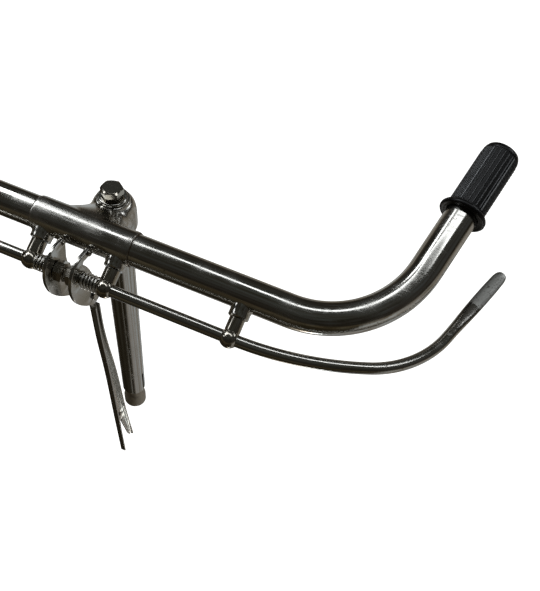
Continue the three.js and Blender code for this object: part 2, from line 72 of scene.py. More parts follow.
# Where the middle of a grip's ribbed panel is round the bar, in degrees.
PANEL_TURN = 95
SLEEVE_HALF = 36
SLEEVE_WALL = 1.1
BOSS_WALL = 4.7
# The inner pillars' distance from the middle of the bar.
INNER_PILLAR = 27
# A crank plate's inner face, its thickness, and the step from its hub to its pivot.
PLATE_PLACE = 8
PLATE_THICKNESS = 2.5
ARM_STEP = (11, -28)
# How far the stop pin's middle is ahead of the lug's sleeve.
TAIL_REACH = 3.6
SPRING_WIRE = 0.65
# A lever's slow bend, and its tight one as a share of the bar's bend radius, with their angles.
SLOW_RADIUS = 230
SLOW_ANGLE = 22
TIGHT_SHARE = 0.97
TIGHT_ANGLE = 48.5
BLADE_FLAT = 58
BLADE_TIP = 8
# Where a grip starts, past the end of the bend, and how much of it is past the bar's own end.
GRIP_START = 43.5
GRIP_OVERHANG = 8
POST_RADIUS = 5.2
# The radius of a pillar's ball less the rod's.
BALL_WALL = 2.6


# ---- sizes and colours ----------------------------------------------------------------------
class HandlebarSizes(bpy.types.PropertyGroup):
    tube_diameter: FloatProperty(
        name="Tube diameter", description="Outside of the bar and the quill",
        default=22.2 * MM, unit="LENGTH",
    )
    straight_half: FloatProperty(
        name="Straight half", description="Centre of the bar to its bend", default=144 * MM, unit="LENGTH"
    )
    bend_radius: FloatProperty(
        name="Bend radius", description="Radius of each bend's middle line", default=72 * MM, unit="LENGTH"
    )
    bend_angle: FloatProperty(
        name="Bend angle", description="How far each end sweeps back",
        default=math.radians(78.5), subtype="ANGLE",
    )
    sweep_rise: FloatProperty(
        name="Sweep rise", description="Rise of the bends from square to the quill",
        default=math.radians(22.7), subtype="ANGLE",
    )
    bar_reach: FloatProperty(
        name="Bar reach", description="Bar's axis ahead of the quill's axis", default=34.5 * MM, unit="LENGTH"
    )
    bar_height: FloatProperty(
        name="Bar height", description="Bar's axis above the lug's lower face", default=26 * MM, unit="LENGTH"
    )
    rod_diameter: FloatProperty(
        name="Rod diameter", description="Brake lever rod", default=8 * MM, unit="LENGTH"
    )
    pillar_height: FloatProperty(
        name="Pillar height", description="Lug sleeve to the middle of a pillar's ball",
        default=18.5 * MM, unit="LENGTH",
    )
    pillar_drop: FloatProperty(
        name="Pillar drop", description="How far the pillars point down from level",
        default=math.radians(27), subtype="ANGLE",
    )
    lever_rest: FloatProperty(
        name="Lever rest", description="Rise of the lever's plane when it is let go",
        default=math.radians(8), subtype="ANGLE",
    )
    grip_length: FloatProperty(
        name="Grip length", description="Length of each rubber grip", default=55 * MM, unit="LENGTH"
    )
    spring_turns: IntProperty(name="Spring turns", description="Turns in each return spring", default=5)


class HandlebarFinish(bpy.types.PropertyGroup):
    chrome: StringProperty(name="Chrome", description="Colour of the bright plating", default="#B9B7B1")
    aged_chrome: StringProperty(name="Aged chrome", description="Colour of worn plating", default="#ABA69B")
    satin: StringProperty(name="Satin plate", description="Colour of dull lever blades", default="#B5B5B0")
    steel: StringProperty(name="Steel", description="Colour of the bare steel cone", default="#B9B0A0")
    spring: StringProperty(name="Spring steel", description="Colour of the spring wire", default="#D8D6D0")
    rubber: StringProperty(name="Rubber", description="Colour of the moulded grips", default="#0B0B0C")
    # A pale grey painted as a highlight along the crests of the grips' ribs.
    painted_highlight: StringProperty(name="Dust", description="Colour of the dust on the grips' ribs", default="#A6A8AA")
    # This colour is also used for the dark band painted as shade at the sleeve's ends.
    grime_and_shade: StringProperty(name="Grime", description="Colour of rust and dried grease", default="#4A3A26")
    daylight: StringProperty(name="Daylight", description="Colour of the soft lights", default="#F6FAFF")
    floor: StringProperty(name="Floor", description="Colour of the studio floor", default="#F4F4F2")


def sizes():
    return bpy.context.scene.handlebar_sizes


def finish():
    return bpy.context.scene.handlebar_finish


def linear(hex_colour):
    """An sRGB hex colour as linear red, green, blue and alpha."""
    parts = [int(hex_colour[k:k + 2], 16) / 255 for k in (1, 3, 5)]
    return [p / 12.92 if p <= 0.04045 else ((p + 0.055) / 1.055) ** 2.4 for p in parts] + [1.0]


# ---- where things are -----------------------------------------------------------------------
def tube_radius():
    return sizes().tube_diameter / 2


def rod_radius():
    return sizes().rod_diameter / 2


def sleeve_radius():
    return tube_radius() + SLEEVE_WALL * MM


def bar_centre(x=0.0):
    return Vector((x, -sizes().bar_reach, sizes().bar_height))


def rod_reach():
    return sleeve_radius() + sizes().pillar_height


def pillar_axis():
    return Vector((0, -math.cos(sizes().pillar_drop), -math.sin(sizes().pillar_drop)))


def rod_centre(x=0.0):
    return bar_centre(x) + pillar_axis() * rod_reach()


def crank_pivot(x=0.0):
    back, up = ARM_STEP
    return rod_centre(x) + Vector((0, back * MM, up * MM))


# ---- mesh helpers ---------------------------------------------------------------------------
def stand(axis, centre):
    """The placement that turns Z onto an axis and moves the origin to a centre."""
    return Matrix.Translation(centre) @ Z_AXIS.rotation_difference(Vector(axis)).to_matrix().to_4x4()


def spin_profile(bm, profile, placement, steps=64):
    """Spins (radius, height) points, in millimetres, into a closed turned shape."""
    before = set(bm.verts)
    points = [bm.verts.new((radius * MM, 0, height * MM)) for radius, height in profile]
    edges = [bm.edges.new(pair) for pair in zip(points, points[1:])]
    bmesh.ops.spin(
        bm, geom=points + edges, cent=(0, 0, 0), axis=(0, 0, 1), dvec=(0, 0, 0),
        angle=2 * math.pi, steps=steps, use_merge=True,
    )
    made = [v for v in bm.verts if v not in before]
    bmesh.ops.remove_doubles(bm, verts=made, dist=1e-6)
    made = [v for v in bm.verts if v not in before]
    bmesh.ops.transform(bm, matrix=placement, verts=made)


def extrude_along(bm, stations, segments=32):
    """Extrudes a unit disc from station to station; each station is a matrix."""
    made = bmesh.ops.create_circle(bm, cap_ends=True, segments=segments, radius=1.0)
    ring = made["verts"]
    face = ring[0].link_faces[0]
    bmesh.ops.transform(bm, matrix=stations[0], verts=ring)
    for last, here in zip(stations, stations[1:]):
        made = bmesh.ops.extrude_face_region(bm, geom=[face])["geom"]
        ring = [item for item in made if isinstance(item, bmesh.types.BMVert)]
        face = next(item for item in made if isinstance(item, bmesh.types.BMFace))
        bmesh.ops.transform(bm, matrix=here @ last.inverted(), verts=ring)


def station(point, tangent, up, half_width, half_height):
    """A matrix whose XY plane is a section across the tangent."""
    tangent = tangent.normalized()
    across = up.cross(tangent).normalized()
    up = tangent.cross(across)
    turn = Matrix((across * half_width, up * half_height, tangent * MM)).transposed().to_4x4()
    return Matrix.Translation(point) @ turn


def make_object(name, bm):
    bmesh.ops.recalc_face_normals(bm, faces=bm.faces)
    mesh = bpy.data.meshes.new(name)
    bm.to_mesh(mesh)
    bm.free()
    piece = bpy.data.objects.new(name, mesh)
    bpy.context.scene.collection.objects.link(piece)
    return piece


def turned(name, profile, placement, steps=64):
    """A piece turned from one profile."""
    bm = bmesh.new()
    spin_profile(bm, profile, placement, steps)
    return make_object(name, bm)


def rod_of(name, radius, low, high, placement, steps):
    """A plain round rod, to cut a bore or a seat with."""
    return turned(name, [(0, low), (radius, low), (radius, high), (0, high)], placement, steps)


def combine(piece, tool, operation):
    """Joins a second shape to a piece, cuts it away or keeps what they share."""
    modifier = piece.modifiers.new("shape", "BOOLEAN")
    modifier.operation = operation
    modifier.solver = "EXACT"
    modifier.object = tool
    settle(piece)
    bpy.data.objects.remove(tool)


def settle(piece):
    """Writes a piece's modifiers into its mesh."""
    graph = bpy.context.evaluated_depsgraph_get()
    mesh = bpy.data.meshes.new_from_object(piece.evaluated_get(graph))
    piece.modifiers.clear()
    piece.data = mesh


def flat_piece(name, outlines, low, high, rounding=0.3):
    """A flat piece between two places on X, its edges rounded.

    Each outline is a closed ring of (back, up, smooth) points in metres from the origin, and
    rings inside the first are holes.
    """
    curve = bpy.data.curves.new(name, "CURVE")
    curve.dimensions = "2D"
    curve.fill_mode = "BOTH"
    curve.resolution_u = 10
    curve.bevel_depth = rounding * MM
    curve.bevel_resolution = 2
    curve.offset = -rounding * MM
    curve.extrude = (high - low) / 2 - rounding * MM
    for outline in outlines:
        spline = curve.splines.new("BEZIER")
        spline.bezier_points.add(len(outline) - 1)
        spline.use_cyclic_u = True
        for point, (back, up, smooth) in zip(spline.bezier_points, outline):
            point.co = (back, up, 0)
            point.handle_left_type = point.handle_right_type = "AUTO" if smooth else "VECTOR"
    holder = bpy.data.objects.new(name, curve)
    bpy.context.scene.collection.objects.link(holder)
    bpy.context.view_layer.update()
    bm = bmesh.new()
    bm.from_mesh(bpy.data.meshes.new_from_object(holder))
    bpy.data.objects.remove(holder)
    bmesh.ops.remove_doubles(bm, verts=bm.verts, dist=2e-6)
    turn = Matrix(((0, 0, 1, (low + high) / 2), (1, 0, 0, 0), (0, 1, 0, 0), (0, 0, 0, 1)))
    bmesh.ops.transform(bm, matrix=turn, verts=bm.verts)
    return make_object(name, bm)


def ring_of(centre, radius, count=8):
    """A round outline for a flat piece."""
    turns = [2 * math.pi * k / count for k in range(count)]
    return [(centre.x + radius * math.cos(t), centre.y + radius * math.sin(t), True) for t in turns]


def unite(name, *pieces):
    """Makes one piece of several shells."""
    bm = bmesh.new()
    for piece in pieces:
        bm.from_mesh(piece.data)
        bpy.data.objects.remove(piece)
    return make_object(name, bm)


def complete(piece, body, nodes, material, edge=0.0, sharp=32):
    """Gives a piece its finish, its shading and its place in the frame."""
    mesh = piece.data
    mesh.name = piece.name
    mesh.materials.clear()
    mesh.materials.append(material)
    mesh.shade_smooth()
    mesh.set_sharp_from_angle(angle=math.radians(sharp))
    if edge:
        bevel = piece.modifiers.new("edge", "BEVEL")
        bevel.width = edge * MM
        bevel.segments = 3
        bevel.limit_method = "ANGLE"
        bevel.angle_limit = math.radians(sharp)
        bevel.harden_normals = True
    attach(piece, body)
    if nodes:
        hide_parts(*nodes)
    return piece


def mirror_x(bm):
    """Turns a shape for the rider's left side into the one for the right."""
    bmesh.ops.transform(bm, matrix=Matrix.Scale(-1, 4, X_AXIS), verts=bm.verts)


# ---- planar paths ---------------------------------------------------------------------------
def add_straight(path, length, steps=1):
    x, w, angle = path[-1]
    for k in range(1, steps + 1):
        run = length * k / steps
        path.append((x + run * math.cos(angle), w + run * math.sin(angle), angle))


def add_bend(path, radius, angle, steps):
    x, w, start = path[-1]
    for k in range(1, steps + 1):
        turn = start + angle * k / steps
        path.append((
            x + radius * (math.sin(turn) - math.sin(start)),
            w + radius * (math.cos(start) - math.cos(turn)),
            turn,
        ))


def lifted(path, centre, rise):
    """Points and tangents in space; w runs back from the centre at the given rise."""
    out = Vector((0, math.cos(rise), math.sin(rise)))
    return [
        (centre + X_AXIS * x + out * w, X_AXIS * math.cos(angle) + out * math.sin(angle))
        for x, w, angle in path
    ]


def half_bar(leg, steps):
    path = [(0.0, 0.0, 0.0)]
    add_straight(path, sizes().straight_half, 8)
    add_bend(path, sizes().bend_radius, sizes().bend_angle, steps)
    add_straight(path, leg, 4)
    return path


# ---- materials ------------------------------------------------------------------------------
def add_node(tree, kind, settings=None, inputs=None, stops=()):
    """Adds a node, sets its properties and its ramp's stops, and fills its sockets."""
    node = tree.nodes.new(kind)
    for key, value in (settings or {}).items():
        setattr(node, key, value)
    if stops:
        elements = node.color_ramp.elements
        # A ramp starts with two stops.
        for _ in stops[2:]:
            elements.new(0.5)
        for element, (position, colour) in zip(elements, stops):
            element.position = position
            element.color = colour
    for key, value in (inputs or {}).items():
        if isinstance(value, bpy.types.NodeSocket):
            tree.links.new(value, node.inputs[key])
        else:
            node.inputs[key].default_value = value
    return node


def new_material(name):
    material = bpy.data.materials.new(name)
    material.use_nodes = True
    material.node_tree.nodes.clear()
    return material, material.node_tree


def grey(level):
    return (level, level, level, 1)


def plated_steel(name, colour, polish, wear, shade_at_ends=0.0):
    """Chromium plate on steel: a mirror with faint orange peel, hazed patches, pits and scratches; where
    asked, also a dark band painted as shade at the sleeve's ends.
    """
    material, tree = new_material(name)
    place = add_node(tree, "ShaderNodeTexCoord").outputs["Object"]
    # Hazed patches are 10 to 30 mm across, pits about 0.7 mm, and the orange peel about 5 mm.
    haze = add_node(
        tree, "ShaderNodeTexNoise", inputs={"Vector": place, "Scale": 45.0, "Detail": 5.0, "Roughness": 0.6}
    ).outputs["Fac"]
    pits = add_node(
        tree, "ShaderNodeTexNoise", inputs={"Vector": place, "Scale": 700.0, "Detail": 2.0, "Roughness": 0.7}
    ).outputs["Fac"]
    peel = add_node(
        tree, "ShaderNodeTexNoise", inputs={"Vector": place, "Scale": 190.0, "Detail": 2.0}
    ).outputs["Fac"]
    scratch_way = add_node(
        tree, "ShaderNodeMapping",
        inputs={"Vector": place, "Rotation": (0.3, 0.5, 0.2), "Scale": (60.0, 900.0, 900.0)},
    )
    scratches = add_node(
        tree, "ShaderNodeTexNoise", inputs={"Vector": scratch_way.outputs[0], "Scale": 1.0, "Detail": 3.0}
    ).outputs["Fac"]
    patch = add_node(
        tree, "ShaderNodeValToRGB", inputs={"Fac": haze}, stops=[(0.42, grey(0)), (0.70, grey(1))]
    ).outputs["Color"]
    speck = add_node(
        tree, "ShaderNodeValToRGB", inputs={"Fac": pits},
        stops=[(0.62 - 0.05 * wear, grey(0)), (0.70, grey(1))],
    ).outputs["Color"]
    line = add_node(
        tree, "ShaderNodeValToRGB", inputs={"Fac": scratches}, stops=[(0.60, grey(0)), (0.68, grey(1))]
    ).outputs["Color"]
    worn = add_node(
        tree, "ShaderNodeMath", {"operation": "MULTIPLY"}, {0: patch, 1: speck}
    ).outputs[0]
    if shade_at_ends:
        # A dark band in the grime colour is painted as shade over the last millimetre before the sleeve's
        # ends, where the chamfer meets the bar.
        across = add_node(tree, "ShaderNodeSeparateXYZ", inputs={"Vector": place}).outputs["X"]
        reach = add_node(tree, "ShaderNodeMath", {"operation": "ABSOLUTE"}, {0: across}).outputs[0]
        end_shade = add_node(
            tree, "ShaderNodeMapRange",
            inputs={"Value": reach, "From Min": shade_at_ends - 0.9 * MM, "From Max": shade_at_ends - 0.3 * MM},
        ).outputs["Result"]
        # From here worn holds the real wear and the painted shade band at the sleeve's ends together.
        worn = add_node(tree, "ShaderNodeMath", {"operation": "MAXIMUM"}, {0: worn, 1: end_shade}).outputs[0]
    tone = add_node(
        tree, "ShaderNodeMix", {"data_type": "RGBA"},
        {"Factor": worn, "A": linear(colour), "B": linear(finish().grime_and_shade)},
    ).outputs["Result"]
    rough = add_node(
        tree, "ShaderNodeMapRange",
        inputs={"Value": patch, "To Min": polish, "To Max": polish + 0.08 + 0.15 * wear},
    ).outputs["Result"]
    rough = add_node(
        tree, "ShaderNodeMath", {"operation": "MULTIPLY_ADD", "use_clamp": True}, {0: worn, 1: 0.35, 2: rough}
    ).outputs[0]
    rough = add_node(
        tree, "ShaderNodeMath", {"operation": "MULTIPLY_ADD", "use_clamp": True},
        {0: line, 1: 0.08 + 0.08 * wear, 2: rough},
    ).outputs[0]
    wave = add_node(
        tree, "ShaderNodeBump", inputs={"Strength": 0.04 + 0.06 * wear, "Distance": 0.00008, "Height": peel}
    ).outputs["Normal"]
    bump = add_node(
        tree, "ShaderNodeBump",
        inputs={"Strength": 0.05 + 0.15 * wear, "Distance": 0.00004, "Height": worn, "Normal": wave},
    ).outputs["Normal"]
    shader = add_node(
        tree, "ShaderNodeBsdfPrincipled",
        inputs={"Base Color": tone, "Metallic": 1.0, "Roughness": rough, "Normal": bump},
    )
    add_node(tree, "ShaderNodeOutputMaterial", inputs={"Surface": shader.outputs[0]})
    return material


def turned_steel(name, colour):
    """Bare turned steel with a brown bloom: fine rings about the upright axis."""
    material, tree = new_material(name)
    place = add_node(tree, "ShaderNodeTexCoord").outputs["Object"]
    rings = add_node(
        tree, "ShaderNodeTexWave", {"bands_direction": "Z"},
        {"Vector": place, "Scale": 420.0, "Distortion": 1.2, "Detail": 2.0},
    ).outputs["Fac"]
    bloom = add_node(
        tree, "ShaderNodeTexNoise", inputs={"Vector": place, "Scale": 140.0, "Detail": 6.0}
    ).outputs["Fac"]
    brown = add_node(
        tree, "ShaderNodeValToRGB", inputs={"Fac": bloom}, stops=[(0.50, grey(0)), (0.78, grey(0.7))]
    ).outputs["Color"]
    tone = add_node(
        tree, "ShaderNodeMix", {"data_type": "RGBA"},
        {"Factor": brown, "A": linear(colour), "B": linear(finish().grime_and_shade)},
    ).outputs["Result"]
    bump = add_node(
        tree, "ShaderNodeBump", inputs={"Strength": 0.25, "Distance": 0.0001, "Height": rings}
    ).outputs["Normal"]
    shader = add_node(
        tree, "ShaderNodeBsdfPrincipled",
        inputs={"Base Color": tone, "Metallic": 0.4, "Roughness": 0.45, "Normal": bump},
    )
    add_node(tree, "ShaderNodeOutputMaterial", inputs={"Surface": shader.outputs[0]})
    return material


def moulded_rubber(name, colour, painted_highlight):
    """Moulded black rubber: a soft sheen, and a pale grey highlight painted along the crests of its ribs,
    made patchy by a faint bloom.
    """
    material, tree = new_material(name)
    place = add_node(tree, "ShaderNodeTexCoord").outputs["Object"]
    crest = add_node(tree, "ShaderNodeAttribute", {"attribute_name": "crest"}).outputs["Fac"]
    bloom = add_node(
        tree, "ShaderNodeTexNoise", inputs={"Vector": place, "Scale": 90.0, "Detail": 6.0}
    ).outputs["Fac"]
    grain = add_node(
        tree, "ShaderNodeTexNoise", inputs={"Vector": place, "Scale": 1500.0, "Detail": 2.0}
    ).outputs["Fac"]
    patchy = add_node(
        tree, "ShaderNodeMapRange",
        inputs={"Value": bloom, "From Min": 0.3, "From Max": 0.75, "To Min": 0.6, "To Max": 1.0},
    ).outputs["Result"]
    # Painted highlight: the crests of the ribs are lightened towards the pale grey.
    painted_highlight_mask = add_node(
        tree, "ShaderNodeMath", {"operation": "MULTIPLY", "use_clamp": True}, {0: patchy, 1: crest}
    ).outputs[0]
    tone = add_node(
        tree, "ShaderNodeMix", {"data_type": "RGBA"},
        {"Factor": painted_highlight_mask, "A": linear(colour), "B": linear(painted_highlight)},
    ).outputs["Result"]
    normal = add_node(
        tree, "ShaderNodeBump", inputs={"Strength": 0.06, "Distance": 0.0001, "Height": grain}
    ).outputs["Normal"]
    shader = add_node(
        tree, "ShaderNodeBsdfPrincipled",
        inputs={"Base Color": tone, "Roughness": 0.4, "Specular IOR Level": 0.3, "Normal": normal},
    )
    add_node(tree, "ShaderNodeOutputMaterial", inputs={"Surface": shader.outputs[0]})
    return material


MATERIALS = {}


def material(kind):
    """The named finish, made the first time that it is asked for."""
    if kind not in MATERIALS:
        makers = {
            "bright_plate": lambda: plated_steel("bright_plate", finish().chrome, 0.12, 0.3),
            # The lug's plating also gets a dark band painted as shade at its sleeve's ends.
            "lug_plate": lambda: plated_steel("lug_plate", finish().chrome, 0.17, 0.5, SLEEVE_HALF * MM),
            "satin_plate": lambda: plated_steel("satin_plate", finish().satin, 0.42, 0.8),
            "worn_plate": lambda: plated_steel("worn_plate", finish().aged_chrome, 0.13, 0.15),
            "spring_wire": lambda: plated_steel("spring_wire", finish().spring, 0.18, 0.1),
            "turned_steel": lambda: turned_steel("turned_steel", finish().steel),
            "grip_rubber": lambda: moulded_rubber("grip_rubber", finish().rubber, finish().painted_highlight),
        }
        MATERIALS[kind] = makers[kind]()
    return MATERIALS[kind]


# ---- the bar --------------------------------------------------------------------------------
class HANDLEBAR_OT_tube(bpy.types.Operator):
    """Bend the bar's tube through both sweeps"""

    bl_idname = "handlebar.tube"
    bl_label = "Bar tube"

    def execute(self, context):
        size = sizes()
        leg = (GRIP_START - GRIP_OVERHANG) * MM + size.grip_length
        half = half_bar(leg, 40)
        other = [(-x, w, -angle) for x, w, angle in half[1:]]
        path = lifted(other[::-1] + half, bar_centre(), size.sweep_rise)
        up = Vector((0, -math.sin(size.sweep_rise), math.cos(size.sweep_rise)))
        radius = tube_radius()
        bm = bmesh.new()
        extrude_along(bm, [station(p, t, up, radius, radius) for p, t in path], 64)
        piece = make_object("bar_tube", bm)
        complete(piece, "handlebar", ["handlebar_tube"], material("bright_plate"))
        return {"FINISHED"}


class HANDLEBAR_OT_lug(bpy.types.Operator):
    """Forge the lug: a sleeve on the bar, a neck, and a boss on the quill"""

    bl_idname = "handlebar.lug"
    bl_label = "Stem lug"

    def execute(self, context):
        size = sizes()
        radius = sleeve_radius() / MM
        half = SLEEVE_HALF
        sleeve = turned(
            "sleeve",
            [(0, -half), (radius - 0.5, -half), (radius, -half + 0.7), (radius, half - 0.7),
             (radius - 0.5, half), (0, half)],
            stand(X_AXIS, bar_centre()), 96,
        )
        reach = size.bar_reach / MM
        height = size.bar_height / MM
        boss = tube_radius() / MM + BOSS_WALL
        top = height + 1
        bm = bmesh.new()
        stations = []
        steps = 32
        for k in range(steps + 1):
            t = k / steps
            flare = math.exp(-((t / 0.46) ** 2))
            # The neck starts almost as wide as the sleeve and narrows fast to the boss.
            half_width = boss - 0.4 + (half - boss - 2) * flare
            ease = t * t * (3 - 2 * t)
            high = radius - 0.3 + (top - height - 1.4 - radius) * ease
            low = -(radius - 0.3) - (height - radius - 0.8) * ease
            centre = Vector((0, t * reach - reach, height + (high + low) / 2)) * MM
            stations.append(
                station(centre, Vector((0, 1, 0)), Z_AXIS, half_width * MM, (high - low) / 2 * MM)
            )
        extrude_along(bm, stations, 64)
        neck = make_object("neck", bm)
        barrel = turned(
            "boss",
            [(0, 0), (boss - 0.8, 0), (boss, 1), (boss, top - 12), (boss - 0.5, top - 7),
             (boss - 1.8, top - 3.6), (boss - 3.2, top - 1.9), (boss - 4.6, top - 1.1), (0, top - 1)],
            Matrix.Identity(4), 96,
        )
        # Remeshing melts the three shapes into one forging.
        piece = unite("stem_lug_forging", sleeve, neck, barrel)
        remesh = piece.modifiers.new("forging", "REMESH")
        remesh.mode = "VOXEL"
        remesh.voxel_size = 0.6 * MM
        smooth = piece.modifiers.new("fettled", "SMOOTH")
        smooth.iterations = 20
        smooth.factor = 0.5
        settle(piece)
        # The neck and the boss are polished smoother than the sleeve, whose ends stay crisp.
        polished = piece.vertex_groups.new(name="polished")
        for vert in piece.data.vertices:
            share = (vert.co.y + 20 * MM) / (12 * MM)
            polished.add([vert.index], max(0.0, min(1.0, share)), "REPLACE")
        smooth = piece.modifiers.new("polished", "SMOOTH")
        smooth.vertex_group = "polished"
        smooth.iterations = 70
        smooth.factor = 0.5
        settle(piece)
        complete(piece, "handlebar", ["stem_lug"], material("lug_plate"), sharp=80)
        ring = turned(
            "boss_top_ring",
            [(5, top - 2.5), (boss - 3.6, top - 2.5), (boss - 4.0, top - 0.6), (boss - 4.4, top), (5, top),
             (5, top - 2.5)],
            Matrix.Identity(4), 96,
        )
        complete(ring, "handlebar", [], material("lug_plate"), edge=0.4)
        return {"FINISHED"}


# ---- quill and expander ---------------------------------------------------------------------
def hex_prism(acrossflats, low, high, placement):
    bm = bmesh.new()
    made = bmesh.ops.create_circle(bm, cap_ends=True, segments=6, radius=acrossflats / math.sqrt(3) * MM)
    bmesh.ops.translate(bm, verts=made["verts"], vec=(0, 0, low * MM))
    top = bmesh.ops.extrude_face_region(bm, geom=[made["verts"][0].link_faces[0]])["geom"]
    verts = [item for item in top if isinstance(item, bmesh.types.BMVert)]
    bmesh.ops.translate(bm, verts=verts, vec=(0, 0, (high - low) * MM))
    bmesh.ops.transform(bm, matrix=placement, verts=bm.verts)
    return bm


class HANDLEBAR_OT_quill(bpy.types.Operator):
    """Turn the quill, its expander cone, the long bolt and the washer"""

    bl_idname = "handlebar.quill"
    bl_label = "Quill and expander"

    def execute(self, context):
        radius = tube_radius() / MM
        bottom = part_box("quill_tube")[0].z / MM
        bore = radius - 2.4
        tube = turned(
            "quill",
            [(bore, bottom), (radius - 0.3, bottom), (radius, bottom + 0.3), (radius, 11), (bore, 11),
             (bore, bottom)],
            Matrix.Identity(4), 96,
        )
        bm = bmesh.new()
        bmesh.ops.create_cube(bm, size=1)
        bmesh.ops.scale(bm, vec=(40 * MM, 2.4 * MM, 31 * MM), verts=bm.verts)
        bmesh.ops.translate(bm, vec=(0, 0, (bottom + 14) * MM), verts=bm.verts)
        combine(tube, make_object("slot", bm), "DIFFERENCE")
        complete(tube, "handlebar", ["quill_tube"], material("bright_plate"), edge=0.25)
        self.cone(radius, bottom, bore - 0.5)
        self.bolt()
        return {"FINISHED"}

    def cone(self, radius, bottom, neck):
        top = bottom + 8
        piece = turned(
            "expander",
            [(0, top - 36), (radius - 1, top - 36), (radius - 0.2, top - 35), (radius - 0.2, top - 25),
             (neck, top - 13), (neck, top - 1), (neck - 0.8, top), (0, top)],
            Matrix.Identity(4), 64,
        )
        complete(piece, "cone", ["expander_cone"], material("turned_steel"), edge=0.3)

    def bolt(self):
        low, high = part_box("expander_bolt")
        flats = (high.y - low.y) / MM
        base = high.z / MM - 5.5
        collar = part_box("bolt_washer")[1].z / MM + 0.3
        turn = Matrix.Rotation(math.radians(-6), 4, "Z")
        head = make_object("bolt", hex_prism(flats, base, base + 7, turn))
        corner = flats * 0.585
        # The crown's waist just clears the corners, and its ends trim them.
        crown = turned(
            "crown",
            [(0, base), (flats / 2 - 0.1, base), (corner, base + 0.9), (corner, base + 4.5),
             (flats / 2 - 0.2, base + 5.2), (flats / 2 - 0.7, base + 5.5), (0, base + 5.5)],
            Matrix.Identity(4), 96,
        )
        combine(head, crown, "INTERSECT")
        tip = low.z / MM
        neck = flats / 2 - 0.8
        shank = turned(
            "shank",
            [(0, tip), (3, tip), (4, tip + 1), (4, collar), (neck, collar), (neck, base + 1), (0, base + 1)],
            Matrix.Identity(4), 48,
        )
        combine(head, shank, "UNION")
        complete(head, "bolt", ["expander_bolt"], material("worn_plate"), edge=0.12, sharp=20)
        low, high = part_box("bolt_washer")
        rim = (high.x - low.x) / 2 / MM
        low, high = low.z / MM, high.z / MM
        washer = turned(
            "washer",
            [(4.4, low), (rim - 0.4, low), (rim, low + 0.5), (rim, high - 0.7), (rim - 0.7, high),
             (4.4, high), (4.4, low)],
            Matrix.Identity(4), 96,
        )
        complete(washer, "handlebar", ["bolt_washer"], material("bright_plate"), edge=0.2)


# ---- pillars --------------------------------------------------------------------------------
class HANDLEBAR_OT_pillars(bpy.types.Operator):
    """Turn the four ball-ended pillars and the collars that they stand in"""

    bl_idname = "handlebar.pillars"
    bl_label = "Pillars"

    def execute(self, context):
        outer = 0.8 * sizes().straight_half / MM
        places = (("inner", INNER_PILLAR, sleeve_radius()), ("outer", outer, tube_radius()))
        for side, sign in SIDES:
            for where, x, seat in places:
                self.collar(f"{where}_{side}", sign * x * MM, seat / MM)
                self.post(f"{where}_{side}", sign * x * MM)
        return {"FINISHED"}

    def collar(self, label, x, seat):
        top = sleeve_radius() / MM + 4.6
        piece = turned(
            f"collar_{label}",
            [(3.6, seat - 3), (7.6, seat - 3), (7.2, seat + 0.6), (7, seat + 1.2), (7, top - 0.7), (6.3, top),
             (3.6, top), (3.6, seat - 3)],
            stand(pillar_axis(), bar_centre(x)), 64,
        )
        seat_rod = rod_of("seat", seat + 0.05, -12, 12, stand(X_AXIS, bar_centre(x)), 96)
        combine(piece, seat_rod, "DIFFERENCE")
        complete(piece, "handlebar", [f"pillar_collar_{label}"], material("bright_plate"), edge=0.2)

    def post(self, label, x):
        foot = sleeve_radius() / MM + 4.9
        centre = rod_reach() / MM
        ball = rod_radius() / MM + BALL_WALL
        post = POST_RADIUS
        # The post meets the ball in a small fillet, then the profile follows the ball to its pole.
        join = centre - math.sqrt(ball ** 2 - (post - 0.2) ** 2)
        profile = [(0, foot), (post - 0.3, foot), (post, foot + 0.3), (post, join - 1.0), (post - 0.15, join)]
        start = math.asin((post - 0.2) / ball)
        for k in range(1, 25):
            angle = start + (math.pi - start) * k / 24
            profile.append((ball * math.sin(angle), centre - ball * math.cos(angle)))
        profile[-1] = (0, centre + ball)
        piece = turned(f"post_{label}", profile, stand(pillar_axis(), bar_centre(x)))
        bore = rod_of("bore", rod_radius() / MM + 0.3, -12, 12, stand(X_AXIS, rod_centre(x)), 48)
        combine(piece, bore, "DIFFERENCE")
        complete(
            piece, "handlebar", [f"pillar_{label}"], material("worn_plate"), edge=0.3, sharp=30
        )


